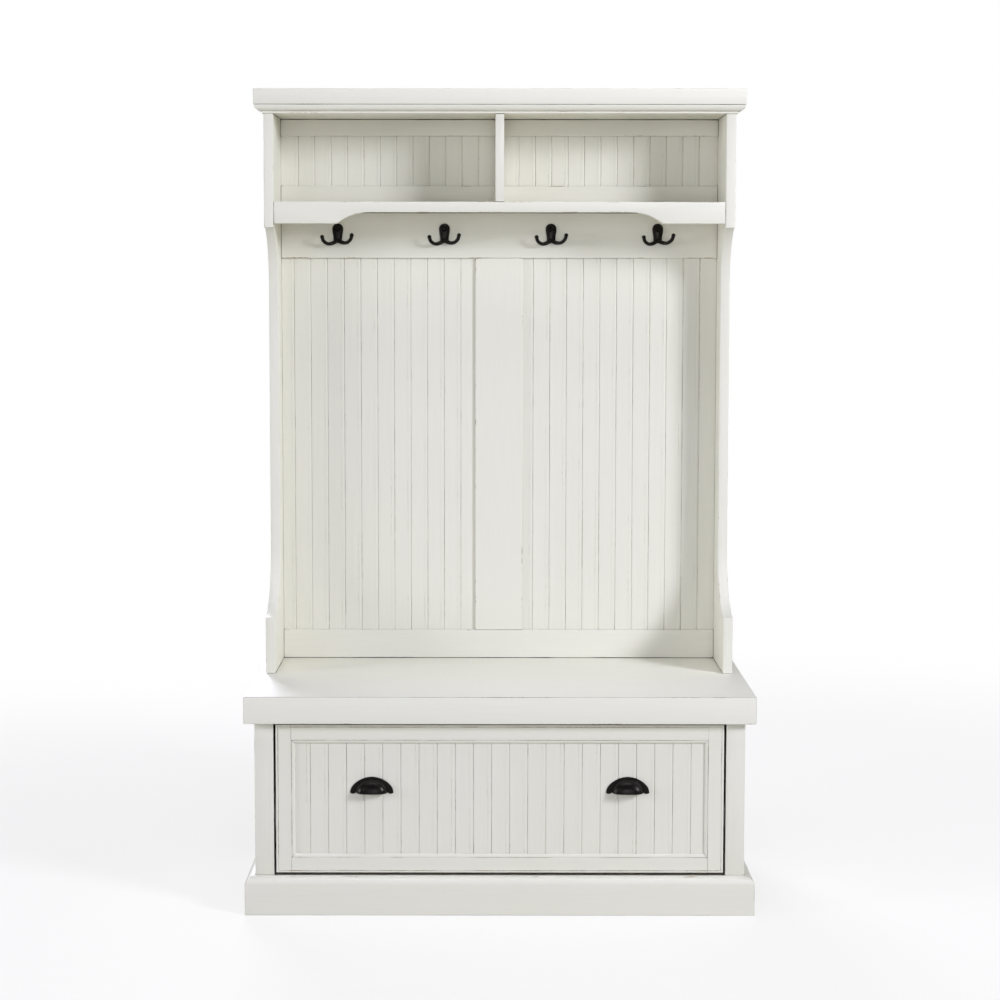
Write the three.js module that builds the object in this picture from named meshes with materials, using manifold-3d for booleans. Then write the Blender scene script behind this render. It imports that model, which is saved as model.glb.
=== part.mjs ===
// Hall tree with hooks: a storage bench with one wide drawer, which carries a hutch with a
// beadboard back, four double coat hooks, a two-bay cubby and a moulded crown.
//
// Millimetres. X is the width, the front faces -Y and Z is up. The origin is on the floor, in
// the middle of the footprint. Depths are measured back from the front of the bench top.

import * as THREE from 'three';
import { mergeVertices } from 'three/addons/utils/BufferGeometryUtils.js';
import { ConvexGeometry } from 'three/addons/geometries/ConvexGeometry.js';
import { RoundedBoxGeometry } from 'three/addons/geometries/RoundedBoxGeometry.js';
import Module from 'manifold-3d';

const wasm = await Module();
wasm.setup();

// ---------------------------------------------------------------- driving dimensions

const WIDTH = 1060;              // crown, bench top and skirting
const DEPTH = 466;               // bench, front to back
const HEIGHT = 1728;
const OVERHANG = 20;             // of the crown, bench top and skirting, past the case

const AIR = 0.3;                 // left between neighbouring pieces
const MITRE_AIR = AIR * Math.SQRT1_2;
const EASE = 1.2;                // radius of an eased board edge

const BOARD = 18;                // panels and shelves
const FRAME = 20;                // face frame and drawer front frame
const UPRIGHT = 21;
const SHEET = 6;                 // beadboard and case back
const REBATE = 8;                // how far a beadboard sheet laps behind its frame
const LIP_FACE = 6;              // from the face of the back frame to the beadboard

const SEAT_HEIGHT = 460;
const BENCH_EDGE = 57;           // height of the bench top's edge
const SKIRT_HEIGHT = 80;
const SKIRT_FACE = 63.5;         // flat part of the skirting, below its rounded top
const SKIRT_LEDGE = 8.5;
const SKIRT_STEP = 2;
const STILE_WIDTH = 39.5;
const TOP_RAIL_HEIGHT = 43;
const CASE_BOTTOM_HEIGHT = 58;
const CASE_BACK_FLOOR = 10;

const CROWN_THICKNESS = 34;
const CROWN_MOULDING = { height: 18, reach: 18, fillet: 5, fillet_reach: 4 };

const UPPER_FRONT = 283;         // depth of the cubby's front
const NARROW_FRONT = 373;        // depth of the uprights' narrow middle
const BRACKET_FRONT = 255;       // depth of the brackets that stand on the bench
const SWEEP_RADIUS = 135;        // of the curves that join them
const UPPER_LEDGE = { height: 1431, depth: 17 };
const BRACKET_HEIGHT = 584;

const BACK_FACE = 442;           // depth of the face of the hutch's back frame
const BACK_FRAME = 18;
const SHELF_TOP = 1487;
const APRON = { ends: 47, middle: 22.6, shoulder: 353, crest: 284 };
const HOOK_RAIL_FOOT = 1367;
const BOTTOM_RAIL_TOP = 525;
const CENTRE_STILE = 107.4;
const CUBBY_RAILS = { lower: 41.5, upper: 37.5 };
const DIVIDER = 19;

const DRAWER = { gap: 4.5, foot: 84.4, top: 397.6, member: 32, sticking: 8, sink: 6 };
const EDGE_QUIRK = { inset: 4.8, half: 0.7, depth: 1 };
const BOX = { board: 15, foot: 104, top: 316, depth: 385, groove: 6, bottom_up: 10 };
const SLIDE = { length: 350, height: 45, gauge: 1.2, space: 12.7, centre: 200, front: 42 };

const BACK_BEADS = { pitch: 37.5, count: 11, left: 23.8, right: 19 };
const CUBBY_BEADS = { pitch: 36.7, count: 12, left: 35, right: 39.8 };
const DRAWER_BEADS = { pitch: 37.74, count: 22, middle: -2.4 };
const BEAD = { half: 3.6, quirk: 0.6, depth: 1.7, shoulder: 0.5 };

const HOOK = {
  pitch: 239,
  middle: -3.4,
  height: 1432.3,
  bulb: 12.2,
  waist: 9.7,
  foot: -30,
  plate: 4,
  rod: 3.8,
  tip: 4.5,
  lean: 0.06,
};
const PULL = { spacing: 533, height: 254.3, half: 45.4, rise: 32.7, flange: 1.8 };

// ---------------------------------------------------------------- derived places

const FRONT = -DEPTH / 2;
const HALF = WIDTH / 2;
const CASE_HALF = HALF - OVERHANG;
const CASE_TOP = SEAT_HEIGHT - BOARD;
const CASE_INSIDE = CASE_HALF - BOARD;
const OPENING_HALF = CASE_HALF - STILE_WIDTH;
const UPRIGHT_INSIDE = CASE_HALF - UPRIGHT;
const CROWN_FOOT = HEIGHT - CROWN_THICKNESS;
const CEILING = CROWN_FOOT - BOARD;
const SHELF_FOOT = SHELF_TOP - BOARD;
const BACK_REAR = BACK_FACE + BACK_FRAME;
const CASE_BACK_FACE = DEPTH - SHEET - 1;
const BOX_HALF = OPENING_HALF - SLIDE.space;

const depth = (back) => FRONT + back;
const mean = ([from, to]) => (from + to) / 2;

// ---------------------------------------------------------------- finishes

const whitePaint = new THREE.MeshStandardMaterial({ color: 0xe2e1da, roughness: 0.55 });
const drawerWood = new THREE.MeshStandardMaterial({ color: 0xcdb48a, roughness: 0.6 });
const darkBronze = new THREE.MeshStandardMaterial({ color: 0x23211f, roughness: 0.4, metalness: 0.7 });
const zincSteel = new THREE.MeshStandardMaterial({ color: 0xb9bcc0, roughness: 0.35, metalness: 0.9 });

// ---------------------------------------------------------------- solids

function named(name, geometry, finish) {
  const mesh = new THREE.Mesh(geometry, finish);
  mesh.name = name;
  return mesh;
}

// A board with eased edges. Each face is drawn in by half of AIR, so that boards that share a
// nominal face stay AIR apart.
function board(name, finish, x, y, z, ease = EASE) {
  const size = [x, y, z].map(([from, to]) => to - from - AIR);
  const mesh = named(name, new RoundedBoxGeometry(...size, 1, ease), finish);
  mesh.position.set(mean(x), mean(y), mean(z));
  return mesh;
}

// A straight strip along X. Its section's points are (out, up), with out towards the front,
// and reach(out, up) gives the strip's two ends, which lets either end be mitred.
function stripGeometry(section, reach) {
  const geometry = new THREE.ExtrudeGeometry(section, { depth: 1, bevelEnabled: false, curveSegments: 5 });
  const points = geometry.attributes.position;
  for (let i = 0; i < points.count; i += 1) {
    const out = points.getX(i);
    const up = points.getY(i);
    const [left, right] = reach(out, up);
    points.setXYZ(i, points.getZ(i) < 0.5 ? right : left, -out, up);
  }
  geometry.computeVertexNormals();
  return geometry;
}

function strip(name, finish, section, reach) {
  return named(name, stripGeometry(section, reach), finish);
}

// An outline in X and Z, or in X and depth, from a list of corners.
function outline(corners) {
  return new THREE.Shape(corners.map(([a, b]) => new THREE.Vector2(a, b)));
}

// One section run round the front and both sides of a core, with mitred front corners.
function wrap(name, finish, section, core) {
  const group = new THREE.Group();
  const front = strip(`${name}_front`, finish, section, (out) => {
    const end = core.half + out - MITRE_AIR;
    return [-end, end];
  });
  front.position.set(0, depth(core.front), core.foot);
  const run = DEPTH - core.front - AIR / 2;
  const left = strip(`${name}_left`, finish, section, (out) => [-run, out - MITRE_AIR]);
  left.position.set(-core.half, depth(core.front), core.foot);
  left.rotation.z = -Math.PI / 2;
  const right = strip(`${name}_right`, finish, section, (out) => [MITRE_AIR - out, run]);
  right.position.set(core.half, depth(core.front), core.foot);
  right.rotation.z = Math.PI / 2;
  group.add(front, left, right);
  return group;
}

function toManifold(geometry) {
  const bare = geometry.clone();
  bare.deleteAttribute('normal');
  bare.deleteAttribute('uv');
  const merged = mergeVertices(bare, 1e-4);
  return new wasm.Manifold(new wasm.Mesh({
    numProp: 3,
    vertProperties: new Float32Array(merged.attributes.position.array),
    triVerts: new Uint32Array(merged.index.array),
  }));
}

function toGeometry(manifold) {
  const { vertProperties, triVerts } = manifold.getMesh();
  const geometry = new THREE.BufferGeometry();
  geometry.setAttribute('position', new THREE.BufferAttribute(vertProperties, 3));
  geometry.setIndex(new THREE.BufferAttribute(triVerts, 1));
  geometry.computeVertexNormals();
  return geometry;
}

// Corners that end up closer together than a hundredth of a millimetre become one.
function combine(geometries, method) {
  const [first, ...others] = geometries.map(toManifold);
  const solid = others.reduce((sum, other) => sum[method](other), first);
  return toGeometry(solid.simplify(0.01));
}

const join = (...geometries) => combine(geometries, 'add');
const cut = (...geometries) => combine(geometries, 'subtract');

function blockGeometry(x, y, z) {
  const geometry = new THREE.BoxGeometry(x[1] - x[0], y[1] - y[0], z[1] - z[0]);
  return geometry.translate(mean(x), mean(y), mean(z));
}

// ---------------------------------------------------------------- crown

function crown() {
  const { height, reach, fillet, fillet_reach } = CROWN_MOULDING;
  const section = new THREE.Shape();
  section.moveTo(AIR, AIR / 2);
  section.lineTo(fillet_reach, AIR / 2);
  section.lineTo(fillet_reach, fillet);
  section.absellipse(fillet_reach + 1, height - 1.5, reach - fillet_reach - 1,
    height - 1.5 - fillet, -Math.PI / 2, 0, false);
  section.lineTo(reach, height - AIR / 2);
  section.lineTo(AIR, height - AIR / 2);

  const group = new THREE.Group();
  group.add(
    board('crown_top', whitePaint, [-HALF, HALF], [depth(UPPER_FRONT - OVERHANG), depth(DEPTH)],
      [CROWN_FOOT, HEIGHT], 1.5),
    board('hutch_top_panel', whitePaint, [-UPRIGHT_INSIDE, UPRIGHT_INSIDE],
      [depth(UPPER_FRONT), depth(BACK_REAR)], [CEILING, CROWN_FOOT]),
    wrap('crown_moulding', whitePaint, section,
      { half: CASE_HALF, front: UPPER_FRONT, foot: CROWN_FOOT - height }),
  );
  return group;
}

// ---------------------------------------------------------------- hutch

// The upright's side outline, in (depth, height): a deep head beside the cubby, a narrow
// middle and a bracket that stands on the bench, joined by sweeps of one radius.
function uprightOutline() {
  const centre = NARROW_FRONT - SWEEP_RADIUS;
  const lowerAngle = Math.acos((BRACKET_FRONT - centre) / SWEEP_RADIUS);
  const lowerCentre = BRACKET_HEIGHT + SWEEP_RADIUS * Math.sin(lowerAngle);
  const ledgeEnd = UPPER_FRONT + UPPER_LEDGE.depth;
  const upperAngle = Math.acos((ledgeEnd - centre) / SWEEP_RADIUS);
  const upperCentre = UPPER_LEDGE.height - SWEEP_RADIUS * Math.sin(upperAngle);

  const shape = new THREE.Shape();
  shape.moveTo(DEPTH, SEAT_HEIGHT + AIR / 2);
  shape.lineTo(DEPTH, CROWN_FOOT - AIR / 2);
  shape.lineTo(UPPER_FRONT, CROWN_FOOT - AIR / 2);
  shape.lineTo(UPPER_FRONT, UPPER_LEDGE.height);
  shape.lineTo(ledgeEnd, UPPER_LEDGE.height);
  shape.absarc(centre, upperCentre, SWEEP_RADIUS, upperAngle, 0, true);
  shape.absarc(centre, lowerCentre, SWEEP_RADIUS, 0, -lowerAngle, true);
  shape.lineTo(BRACKET_FRONT, SEAT_HEIGHT + AIR / 2);
  return shape;
}

// The outline is extruded along its own Z, then turned so that its axes lie along Y and Z.
function uprights() {
  const group = new THREE.Group();
  for (const [name, side] of [['upright_left', -1], ['upright_right', 1]]) {
    const geometry = new THREE.ExtrudeGeometry(uprightOutline(), {
      depth: UPRIGHT - 2 * EASE - AIR,
      bevelThickness: EASE,
      bevelSize: EASE,
      bevelOffset: -EASE,
      bevelSegments: 2,
      curveSegments: 12,
    });
    geometry.translate(0, 0, EASE + AIR / 2);
    geometry.rotateY(Math.PI / 2);
    geometry.rotateX(Math.PI / 2);
    const mesh = named(name, geometry, whitePaint);
    mesh.position.set(side > 0 ? UPRIGHT_INSIDE : -CASE_HALF, FRONT, 0);
    group.add(mesh);
  }
  return group;
}

function apron() {
  const { ends, middle, shoulder, crest } = APRON;
  const half = UPRIGHT_INSIDE - AIR / 2;
  const rise = ends - middle;
  const run = shoulder - crest;
  const radius = (run * run + rise * rise) / (2 * rise);
  const sweep = Math.asin(run / radius);
  const arcCentre = -middle - radius;

  const shape = new THREE.Shape();
  shape.moveTo(-half, 0);
  shape.lineTo(-half, -ends);
  shape.lineTo(-shoulder, -ends);
  shape.absarc(-crest, arcCentre, radius, Math.PI / 2 + sweep, Math.PI / 2, true);
  shape.absarc(crest, arcCentre, radius, Math.PI / 2, Math.PI / 2 - sweep, true);
  shape.lineTo(half, -ends);
  shape.lineTo(half, 0);
  const geometry = new THREE.ExtrudeGeometry(shape, {
    depth: BOARD - 2 * EASE - AIR,
    bevelThickness: EASE,
    bevelSize: EASE,
    bevelOffset: -EASE,
    bevelSegments: 2,
    curveSegments: 10,
  });
  geometry.translate(0, 0, -BOARD + AIR / 2 + EASE);
  geometry.rotateX(Math.PI / 2);
  const mesh = named('shelf_apron', geometry, whitePaint);
  mesh.position.set(0, depth(UPPER_FRONT), SHELF_TOP - AIR / 2);
  return mesh;
}

function shelves() {
  const group = new THREE.Group();
  group.add(
    board('shelf_board', whitePaint, [-UPRIGHT_INSIDE, UPRIGHT_INSIDE],
      [depth(UPPER_FRONT + BOARD), depth(BACK_REAR)], [SHELF_FOOT, SHELF_TOP]),
    apron(),
    board('cubby_divider', whitePaint, [-DIVIDER / 2, DIVIDER / 2],
      [depth(UPPER_FRONT), depth(BACK_FACE)], [SHELF_TOP, CEILING]),
  );
  return group;
}

// A member of the back frame, in section: its face is full width, and behind the face it is
// cut back by a rebate for the beadboard on its lower edge, its upper edge or both.
function rebatedSection(from, to, rebateFrom, rebateTo) {
  const sheetBack = BACK_FRAME - LIP_FACE;
  const low = from + AIR / 2;
  const high = to - AIR / 2;
  const innerLow = rebateFrom ? low + REBATE : low;
  const innerHigh = rebateTo ? high - REBATE : high;
  const corners = [[0, innerLow], [sheetBack, innerLow]];
  if (rebateFrom) corners.push([sheetBack, low]);
  corners.push([BACK_FRAME - EASE, low], [BACK_FRAME, low + EASE], [BACK_FRAME, high - EASE],
    [BACK_FRAME - EASE, high]);
  if (rebateTo) corners.push([sheetBack, high]);
  corners.push([sheetBack, innerHigh], [0, innerHigh]);
  return outline(rebateTo ? corners : corners.filter((corner, i) => i !== corners.length - 2));
}

function backRail(name, from, to, rebateFrom, rebateTo) {
  const half = UPRIGHT_INSIDE - AIR / 2;
  const mesh = strip(name, whitePaint, rebatedSection(from, to, rebateFrom, rebateTo), () => [-half, half]);
  mesh.position.set(0, depth(BACK_REAR), 0);
  return mesh;
}

// The centre stile stands between the hook rail and the bottom rail, and has a rebate on both
// edges. Its strip is made lying down and then stood on end.
function centreStile() {
  const section = rebatedSection(-CENTRE_STILE / 2, CENTRE_STILE / 2, true, true);
  const from = BOTTOM_RAIL_TOP + AIR / 2;
  const to = HOOK_RAIL_FOOT - AIR / 2;
  const mesh = strip('back_centre_stile', whitePaint, section, () => [from, to]);
  mesh.rotation.y = -Math.PI / 2;
  mesh.position.set(0, depth(BACK_REAR), 0);
  return mesh;
}

// The edge of a beadboard sheet, in (x, depth behind the face): flat boards parted by a bead
// with a slight shoulder on its left and a quirk on its right.
function beadboardOutline(from, to, beads) {
  const { half, quirk, depth: sink, shoulder } = BEAD;
  const steps = 4;
  const corners = [[from, SHEET], [from, 0]];
  for (const centre of beads) {
    corners.push([centre - half - quirk, 0]);
    for (let i = 0; i <= steps; i += 1) {
      const angle = Math.PI * (1 - i / steps);
      const fall = angle > Math.PI / 2 ? shoulder : 0.7 * sink;
      corners.push([centre + half * Math.cos(angle), fall * (1 - Math.sin(angle))]);
    }
    corners.push([centre + half + quirk, sink], [centre + half + 2 * quirk, 0]);
  }
  corners.push([to, 0], [to, SHEET]);
  return corners;
}

// A sheet of beadboard, with its face at the given depth.
function beadboard(name, x, z, face, beads) {
  const corners = beadboardOutline(x[0] + AIR / 2, x[1] - AIR / 2, beads);
  const shape = outline(corners.map(([across, back]) => [across, face + back]));
  const geometry = new THREE.ExtrudeGeometry(shape, { depth: z[1] - z[0] - AIR, bevelEnabled: false });
  const mesh = named(name, geometry, whitePaint);
  mesh.position.set(0, FRONT, z[0] + AIR / 2);
  return mesh;
}

const series = (first, pitch, count) => Array.from({ length: count }, (_, i) => first + i * pitch);

function backPanels() {
  const face = BACK_FACE + LIP_FACE + AIR;
  const stileEdge = CENTRE_STILE / 2;
  const edge = stileEdge - REBATE + 2 * AIR;
  const lowerZ = [BOTTOM_RAIL_TOP - REBATE + 2 * AIR, HOOK_RAIL_FOOT + REBATE - 2 * AIR];
  const upperZ = [SHELF_TOP + CUBBY_RAILS.lower - REBATE + 2 * AIR,
    CEILING - CUBBY_RAILS.upper + REBATE - 2 * AIR];
  const group = new THREE.Group();
  group.add(
    beadboard('beadboard_left', [-UPRIGHT_INSIDE, -edge], lowerZ, face,
      series(-UPRIGHT_INSIDE + BACK_BEADS.left, BACK_BEADS.pitch, BACK_BEADS.count)),
    beadboard('beadboard_right', [edge, UPRIGHT_INSIDE], lowerZ, face,
      series(stileEdge + BACK_BEADS.right, BACK_BEADS.pitch, BACK_BEADS.count)),
    beadboard('cubby_beadboard_left', [-UPRIGHT_INSIDE, 0], upperZ, face,
      series(-UPRIGHT_INSIDE + CUBBY_BEADS.left, CUBBY_BEADS.pitch, CUBBY_BEADS.count)),
    beadboard('cubby_beadboard_right', [0, UPRIGHT_INSIDE], upperZ, face,
      series(CUBBY_BEADS.right, CUBBY_BEADS.pitch, CUBBY_BEADS.count)),
  );
  return group;
}

function wallPlate(name, x) {
  const plate = { width: 60, height: 22, gauge: 2, hole: 5.5 };
  const shape = new THREE.Shape();
  shape.moveTo(-plate.width / 2, -plate.height / 2);
  shape.lineTo(plate.width / 2, -plate.height / 2);
  shape.lineTo(plate.width / 2, plate.height / 2);
  shape.lineTo(-plate.width / 2, plate.height / 2);
  shape.holes.push(new THREE.Path().absarc(0, 0, plate.hole / 2, 0, 2 * Math.PI, true));
  const geometry = new THREE.ExtrudeGeometry(shape, {
    depth: plate.gauge,
    bevelEnabled: false,
    curveSegments: 8,
  });
  geometry.rotateX(Math.PI / 2);
  const mesh = named(name, geometry, zincSteel);
  mesh.position.set(x, depth(BACK_REAR + AIR + plate.gauge), CEILING - CUBBY_RAILS.upper / 2 + REBATE / 2);
  return mesh;
}

function hutch() {
  const group = new THREE.Group();
  group.add(
    uprights(),
    shelves(),
    backRail('cubby_top_rail', CEILING - CUBBY_RAILS.upper, CEILING, true, false),
    backRail('cubby_bottom_rail', SHELF_TOP, SHELF_TOP + CUBBY_RAILS.lower, false, true),
    backRail('hook_rail', HOOK_RAIL_FOOT, SHELF_FOOT, true, false),
    backRail('back_bottom_rail', SEAT_HEIGHT, BOTTOM_RAIL_TOP, false, true),
    centreStile(),
    backPanels(),
    wallPlate('wall_fixing_plate_left', -UPRIGHT_INSIDE / 2),
    wallPlate('wall_fixing_plate_right', UPRIGHT_INSIDE / 2),
  );
  return group;
}

// ---------------------------------------------------------------- coat hooks

// A bulb-headed back plate, in (x, z) about the centre of the bulb.
function hookPlate() {
  const { bulb, waist, foot, plate } = HOOK;
  const neck = -Math.PI / 9;
  const shape = new THREE.Shape();
  shape.moveTo(-waist, foot);
  shape.lineTo(waist, foot);
  shape.quadraticCurveTo(waist, foot / 2, bulb * Math.cos(neck), bulb * Math.sin(neck));
  shape.absarc(0, 0, bulb, neck, Math.PI - neck, false);
  shape.quadraticCurveTo(-waist, foot / 2, -waist, foot);
  const round = 1.4;
  const geometry = new THREE.ExtrudeGeometry(shape, {
    depth: plate - 2 * round,
    bevelThickness: round,
    bevelSize: round,
    bevelOffset: -round,
    bevelSegments: 1,
    curveSegments: 8,
  });
  return geometry.translate(0, 0, round).rotateX(Math.PI / 2);
}

// One prong: it leaves the foot of the plate, sweeps down, out and forward, and turns up. The
// pair leans a little, which leaves the right prong higher than the left.
function hookProng(side) {
  const route = [
    [3, -4, -27],
    [9, -6.5, -30.5],
    [16.5, -11.5, -32.5],
    [24, -18, -31],
    [30.5, -24, -25],
    [33, -27, -16.5],
  ].map(([x, y, z]) => new THREE.Vector3(side * x, y, z + HOOK.lean * side * x));
  const section = new THREE.Shape().absarc(0, 0, HOOK.rod, 0, 2 * Math.PI, false);
  const rod = new THREE.ExtrudeGeometry(section, {
    steps: 12,
    curveSegments: 4,
    bevelEnabled: false,
    extrudePath: new THREE.CatmullRomCurve3(route),
  });
  const tip = new THREE.SphereGeometry(HOOK.tip, 8, 6);
  tip.translate(...route.at(-1).toArray());
  return [rod, tip];
}

function coatHooks() {
  const geometry = join(hookPlate(), ...hookProng(-1), ...hookProng(1));
  const group = new THREE.Group();
  for (let i = 0; i < 4; i += 1) {
    const mesh = named(`coat_hook_${i + 1}`, geometry, darkBronze);
    mesh.position.set(HOOK.middle + (i - 1.5) * HOOK.pitch, depth(BACK_FACE - AIR / 2), HOOK.height);
    group.add(mesh);
  }
  return group;
}

// ---------------------------------------------------------------- bench

// The bench top is a board whose front and side edges are mitred to deep lips.
function benchTop() {
  const lipFoot = SEAT_HEIGHT - BENCH_EDGE;
  const arris = BOARD - EASE + EASE * Math.SQRT1_2;
  const lip = outline([
    [0, 0],
    [BOARD - EASE, 0],
    [BOARD, EASE],
    [BOARD, BENCH_EDGE - EASE],
    [arris, BENCH_EDGE - BOARD + arris - MITRE_AIR],
    [0, BENCH_EDGE - BOARD - MITRE_AIR],
  ]);
  const core = { half: HALF - BOARD, front: BOARD, foot: lipFoot };

  const rings = [[AIR / 2, AIR / 2 - MITRE_AIR], [arris, arris - MITRE_AIR], [BOARD, BOARD - EASE]];
  const corners = [];
  for (const [up, out] of rings) {
    for (const side of [-1, 1]) {
      for (const back of [core.front - out, DEPTH]) {
        corners.push(new THREE.Vector3(side * (core.half + out), depth(back), CASE_TOP + up));
      }
    }
  }
  const group = new THREE.Group();
  group.add(
    named('bench_top', new ConvexGeometry(corners), whitePaint),
    wrap('bench_lip', whitePaint, lip, core),
  );
  return group;
}

function skirting() {
  const section = new THREE.Shape();
  section.moveTo(AIR, 0);
  section.lineTo(OVERHANG, 0);
  section.lineTo(OVERHANG, SKIRT_FACE);
  section.absellipse(SKIRT_LEDGE, SKIRT_FACE, OVERHANG - SKIRT_LEDGE,
    SKIRT_HEIGHT - SKIRT_STEP - SKIRT_FACE, 0, Math.PI / 2, false);
  section.lineTo(SKIRT_LEDGE, SKIRT_HEIGHT);
  section.lineTo(AIR, SKIRT_HEIGHT);
  return wrap('skirting', whitePaint, section, { half: CASE_HALF, front: OVERHANG, foot: 0 });
}

// The case bottom is notched at its front corners, to pass between the stiles.
function caseBottom() {
  const front = OVERHANG + AIR / 2;
  const notch = OVERHANG + FRAME + AIR / 2;
  const inner = OPENING_HALF - AIR / 2;
  const outer = CASE_INSIDE - AIR / 2;
  const back = CASE_BACK_FACE - AIR / 2;
  const corners = [[-inner, front], [inner, front], [inner, notch], [outer, notch],
    [outer, back], [-outer, back], [-outer, notch], [-inner, notch]];
  const geometry = new THREE.ExtrudeGeometry(outline(corners), { depth: BOARD - AIR, bevelEnabled: false });
  const mesh = named('case_bottom', geometry, whitePaint);
  mesh.position.set(0, FRONT, CASE_BOTTOM_HEIGHT + AIR / 2);
  return mesh;
}

function benchCase() {
  const stileBack = OVERHANG + FRAME;
  const group = new THREE.Group();
  for (const [side, name] of [[-1, 'left'], [1, 'right']]) {
    const span = (inner, outer) => [side * inner, side * outer].sort((a, b) => a - b);
    group.add(
      board(`case_side_${name}`, whitePaint, span(CASE_INSIDE, CASE_HALF),
        [depth(stileBack), depth(DEPTH)], [0, CASE_TOP]),
      board(`case_stile_${name}`, whitePaint, span(OPENING_HALF, CASE_HALF),
        [depth(OVERHANG), depth(stileBack)], [0, CASE_TOP]),
      board(`slide_spacer_${name}`, drawerWood, span(OPENING_HALF, CASE_INSIDE),
        [depth(stileBack + 5), depth(SLIDE.front + SLIDE.length + 10)],
        [SLIDE.centre - SLIDE.height / 2 - 5, SLIDE.centre + SLIDE.height / 2 + 5]),
    );
  }
  group.add(
    board('case_top_rail', whitePaint, [-OPENING_HALF, OPENING_HALF],
      [depth(OVERHANG), depth(stileBack)], [CASE_TOP - TOP_RAIL_HEIGHT, CASE_TOP]),
    caseBottom(),
    board('case_back', drawerWood, [-CASE_INSIDE, CASE_INSIDE],
      [depth(CASE_BACK_FACE), depth(CASE_BACK_FACE + SHEET)], [CASE_BACK_FLOOR, CASE_TOP], 0.5),
    board('back_plinth', whitePaint, [-CASE_INSIDE, CASE_INSIDE],
      [depth(CASE_BACK_FACE - BOARD), depth(CASE_BACK_FACE)], [0, CASE_BOTTOM_HEIGHT]),
  );
  return group;
}

// ---------------------------------------------------------------- drawer front

const frontHalf = { x: OPENING_HALF - DRAWER.gap, z: (DRAWER.top - DRAWER.foot) / 2 };
const flatHalf = { x: frontHalf.x - DRAWER.member, z: frontHalf.z - DRAWER.member };
const frontMiddle = (DRAWER.top + DRAWER.foot) / 2;
const panelDepth = OVERHANG + DRAWER.sink + AIR;

// The rounded outer edge of the drawer front and the quirk beside it, as the cutter that makes
// them. Its section's up is measured in from the outer edge.
function edgeCutters() {
  const { inset, half, depth: sink } = EDGE_QUIRK;
  const round = { up: 3.2, out: 2.2 };
  const clear = 1;
  const section = (edge) => {
    const shape = new THREE.Shape();
    shape.moveTo(clear, edge - clear);
    shape.lineTo(-round.out, edge - clear);
    shape.lineTo(-round.out, edge);
    shape.absellipse(-round.out, edge + round.up, round.out, round.up, -Math.PI / 2, 0, false);
    shape.lineTo(0, edge + inset - half);
    shape.lineTo(-sink, edge + inset);
    shape.lineTo(0, edge + inset + half);
    shape.lineTo(clear, edge + inset + half);
    return shape;
  };
  const side = (turn, across, along) => {
    const geometry = stripGeometry(section(-across), (out, up) => [up + across - along, along - up - across]);
    return geometry.rotateY(turn);
  };
  return [
    side(0, frontHalf.z, frontHalf.x),
    side(Math.PI, frontHalf.z, frontHalf.x),
    side(Math.PI / 2, frontHalf.x, frontHalf.z),
    side(-Math.PI / 2, frontHalf.x, frontHalf.z),
  ];
}

// A rail or stile of the drawer front, made as the bottom rail about the front's middle and
// then turned. Its inner edge carries a rounded moulding in front of the panel and a plain
// tongue behind it, both mitred to those of its neighbours. A quirk sets the moulding off.
function frontMember(name, turn, edge, half, opening, cutters) {
  const { member, sticking, sink } = DRAWER;
  const lap = 1;
  const step = 1.2;
  const quirk = { half: 0.7, sink: 1.7 };
  const start = 2 * quirk.half - edge;
  const moulding = new THREE.Shape();
  moulding.moveTo(-lap, -edge - lap);
  moulding.lineTo(0, -edge);
  moulding.lineTo(-quirk.sink, quirk.half - edge);
  moulding.lineTo(-step, start);
  moulding.absellipse(-sink, start, sink - step, sticking - 2 * quirk.half, 0, Math.PI / 2, false);
  moulding.lineTo(-sink, -edge - lap);
  const tongueFront = -(sink + SHEET + 2 * AIR);
  const tongue = outline([[tongueFront, -edge - lap], [tongueFront, -edge + sticking],
    [-FRAME, -edge + sticking], [-FRAME, -edge], [lap - FRAME, -edge - lap]]);
  const reach = (out, up) => {
    const end = opening - Math.abs(up + edge) - MITRE_AIR;
    return [-end, end];
  };
  const solid = join(
    blockGeometry([-half, half], [0, FRAME], [-edge - member, -edge]),
    stripGeometry(moulding, reach),
    stripGeometry(tongue, reach),
  ).rotateY(turn);
  const mesh = named(name, cut(solid, ...cutters), whitePaint);
  mesh.position.set(0, depth(OVERHANG), frontMiddle);
  return mesh;
}

function drawerFront() {
  const cutters = edgeCutters();
  const railHalf = flatHalf.x - MITRE_AIR;
  const tongue = { x: flatHalf.x - 2 * AIR, z: flatHalf.z - 2 * AIR };
  const { pitch, count, middle } = DRAWER_BEADS;
  const group = new THREE.Group();
  group.add(
    frontMember('drawer_rail_bottom', 0, flatHalf.z, railHalf, flatHalf.x, cutters),
    frontMember('drawer_rail_top', Math.PI, flatHalf.z, railHalf, flatHalf.x, cutters),
    frontMember('drawer_stile_left', Math.PI / 2, flatHalf.x, frontHalf.z, flatHalf.z, cutters),
    frontMember('drawer_stile_right', -Math.PI / 2, flatHalf.x, frontHalf.z, flatHalf.z, cutters),
    beadboard('drawer_beadboard', [-tongue.x, tongue.x], [frontMiddle - tongue.z, frontMiddle + tongue.z],
      panelDepth, series(middle - pitch * (count - 1) / 2, pitch, count)),
  );
  return group;
}

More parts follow.
